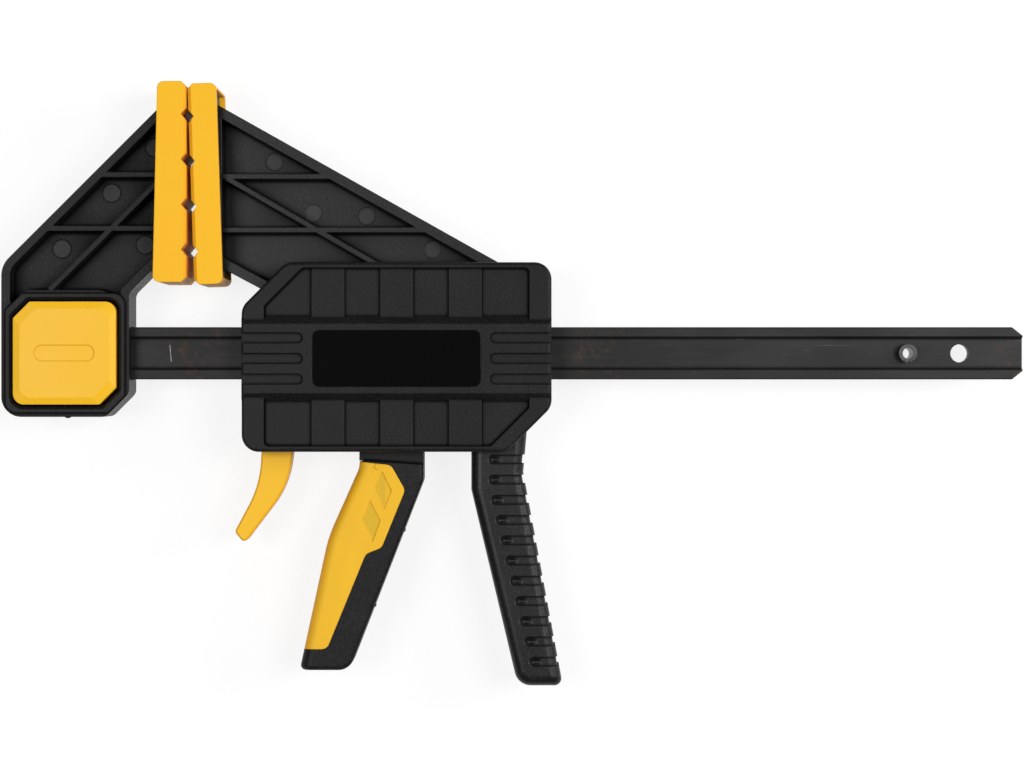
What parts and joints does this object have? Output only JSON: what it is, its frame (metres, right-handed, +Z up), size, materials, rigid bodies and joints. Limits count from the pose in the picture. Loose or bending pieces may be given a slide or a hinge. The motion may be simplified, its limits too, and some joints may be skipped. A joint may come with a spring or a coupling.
{
  "type": "quick release bar clamp",
  "caption": "One-hand bar clamp: steel bar with a fixed jaw, a sliding jaw with squeeze trigger and release lever, soft pads, and a button latch for the fixed jaw.",
  "frame": {"origin": "middle of the rear cover's flat resting face, under the bar's centre line", "axes": "+X along the bar to its free end, +Y towards the jaw tips, +Z up out of the front cover; the clamp lies on its rear cover"},
  "size_m": [0.4383, 0.2582, 0.044],
  "materials": {
    "black_nylon": "fine-grained black glass-filled nylon",
    "yellow_pad": "soft yellow moulded pad",
    "yellow_hard": "satin yellow moulded plastic",
    "oxide_steel": "black oxide on drawn steel, rubbed and scratched",
    "bright_steel": "plain zinc-coated steel",
    "spring_steel": "drawn spring wire",
    "label_sheet": "glossy black label"
  },
  "bodies": {
    "bar_assembly": {"steel_bar": "oxide_steel", "stop_roll_pin": "bright_steel", "fixed_jaw": "black_nylon", "fixed_jaw_pad": "yellow_pad", "latch_spring": "spring_steel"},
    "jaw_latch": {"jaw_release_button": "yellow_hard", "latch_pin": "bright_steel", "latch_retaining_ring": "bright_steel"},
    "sliding_head": {"sliding_jaw_frame": "black_nylon", "sliding_jaw_pad": "yellow_pad", "front_cover": "black_nylon", "rear_cover": "black_nylon", "front_label": "label_sheet", "cover_screws": "bright_steel", "trigger_pivot_pin": "bright_steel", "release_pivot_pin": "bright_steel", "drive_spring": "spring_steel", "brake_spring": "spring_steel"},
    "trigger": {"trigger_core": "black_nylon", "trigger_front_grip": "yellow_pad"},
    "drive_plates": {"drive_plate_1": "bright_steel", "drive_plate_2": "bright_steel"},
    "release_lever": {"release_lever": "yellow_hard"},
    "brake_plates": {"brake_plate_1": "bright_steel", "brake_plate_2": "bright_steel"}
  },
  "joints": [
    {"name": "head_slide", "type": "slide", "parent": "bar_assembly", "child": "sliding_head", "axis": [1, 0, 0], "range_m": [0, 0.149]},
    {"name": "trigger_squeeze", "type": "hinge", "parent": "sliding_head", "child": "trigger", "pos_m": [-0.0026, 0.024, 0.022], "axis": [0, 0, 1], "range_deg": [0, 14], "stiffness_Nm_per_rad": 0.9, "springref_deg": -20.05},
    {"name": "drive_stroke", "type": "slide", "parent": "sliding_head", "child": "drive_plates", "axis": [1, 0, 0], "range_m": [0, 0.0064], "deforming": ["drive_spring"]},
    {"name": "lever_release", "type": "hinge", "parent": "sliding_head", "child": "release_lever", "pos_m": [-0.0506, -0.0165, 0.022], "axis": [0, 0, 1], "range_deg": [0, 15], "stiffness_Nm_per_rad": 0.5, "springref_deg": -17.19},
    {"name": "brake_tilt", "type": "hinge", "parent": "sliding_head", "child": "brake_plates", "pos_m": [-0.035, 0.018, 0.022], "axis": [0, 0, 1], "range_deg": [0, 3.1], "deforming": ["brake_spring"]},
    {"name": "button_press", "type": "slide", "parent": "bar_assembly", "child": "jaw_latch", "axis": [0, 0, -1], "range_m": [0, 0.0038], "stiffness_N_per_m": 1500, "springref_m": -0.004, "deforming": ["latch_spring"]}
  ],
  "couplings": [
    {"joint": "drive_stroke", "follows": "trigger_squeeze", "m_per_rad": 0.0256},
    {"joint": "brake_tilt", "follows": "lever_release", "ratio": 0.2}
  ]
}
